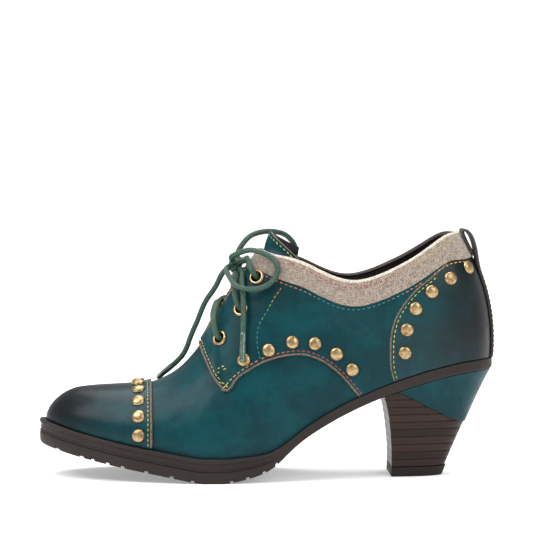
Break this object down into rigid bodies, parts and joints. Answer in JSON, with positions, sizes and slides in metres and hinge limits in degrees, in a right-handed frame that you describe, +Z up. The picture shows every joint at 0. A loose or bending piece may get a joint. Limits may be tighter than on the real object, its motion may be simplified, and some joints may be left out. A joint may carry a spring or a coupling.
{
  "type": "heeled oxford shoe",
  "caption": "Heeled oxford shoe with a rounded cap toe, laced facings, a woven collar band, a thick rubber sole and a stacked block heel with a leather wedge.",
  "frame": {"origin": "centre of the shoe's length and width, on the floor it stands on; the bow of the lace is left out of that box", "axes": "+X from the toe to the heel, -Y towards the lateral (outer) side, +Z up"},
  "size_m": [0.2492, 0.0842, 0.1347],
  "materials": {
    "teal_leather": "burnished teal leather with a soft sheen",
    "teal_dark": "burnished teal leather, darkened towards the toe and the heel",
    "linen": "woven beige linen with a folded, slightly frayed top edge",
    "lining": "dark soft lining",
    "brown_rubber": "matt dark brown rubber with a stitched rim",
    "stacked_heel": "dark red-brown stacked layers",
    "tip_rubber": "hard near-black rubber",
    "brass": "antique brass, worn light on the domes",
    "green_cord": "dark green waxed cotton cord"
  },
  "bodies": {
    "root": {"upper": "teal_leather", "toe_cap": "teal_dark", "quarter_lateral": "teal_leather", "quarter_medial": "teal_leather", "counter": "teal_dark", "collar_band": "linen", "backstay": "teal_dark", "tongue": "teal_leather", "insole": "lining", "outsole": "brown_rubber", "heel_block": "stacked_heel", "heel_cover": "teal_leather", "heel_tip": "tip_rubber", "eyelet_lateral_1": "brass", "eyelet_lateral_2": "brass", "eyelet_lateral_3": "brass", "eyelet_medial_1": "brass", "eyelet_medial_2": "brass", "eyelet_medial_3": "brass", "stud_cap_lateral_1": "brass", "stud_cap_lateral_2": "brass", "stud_cap_lateral_3": "brass", "stud_cap_lateral_4": "brass", "stud_cap_lateral_5": "brass", "stud_cap_medial_1": "brass", "stud_cap_medial_2": "brass", "stud_cap_medial_3": "brass", "stud_cap_medial_4": "brass", "stud_cap_medial_5": "brass", "stud_quarter_lateral_1": "brass", "stud_quarter_lateral_2": "brass", "stud_quarter_lateral_3": "brass", "stud_quarter_lateral_4": "brass", "stud_quarter_lateral_5": "brass", "stud_quarter_lateral_6": "brass", "stud_quarter_medial_1": "brass", "stud_quarter_medial_2": "brass", "stud_quarter_medial_3": "brass", "stud_quarter_medial_4": "brass", "stud_quarter_medial_5": "brass", "stud_quarter_medial_6": "brass", "stud_counter_lateral_1": "brass", "stud_counter_lateral_2": "brass", "stud_counter_lateral_3": "brass", "stud_counter_lateral_4": "brass", "stud_counter_lateral_5": "brass", "stud_counter_lateral_6": "brass", "stud_counter_medial_1": "brass", "stud_counter_medial_2": "brass", "stud_counter_medial_3": "brass", "stud_counter_medial_4": "brass", "stud_counter_medial_5": "brass", "stud_counter_medial_6": "brass", "lace_cross_lower": "green_cord", "lace_cross_upper": "green_cord", "lace_knot": "green_cord", "lace_loop_lateral": "green_cord", "lace_loop_medial": "green_cord", "lace_end_lateral": "green_cord", "lace_end_medial": "green_cord"}
  },
  "joints": []
}
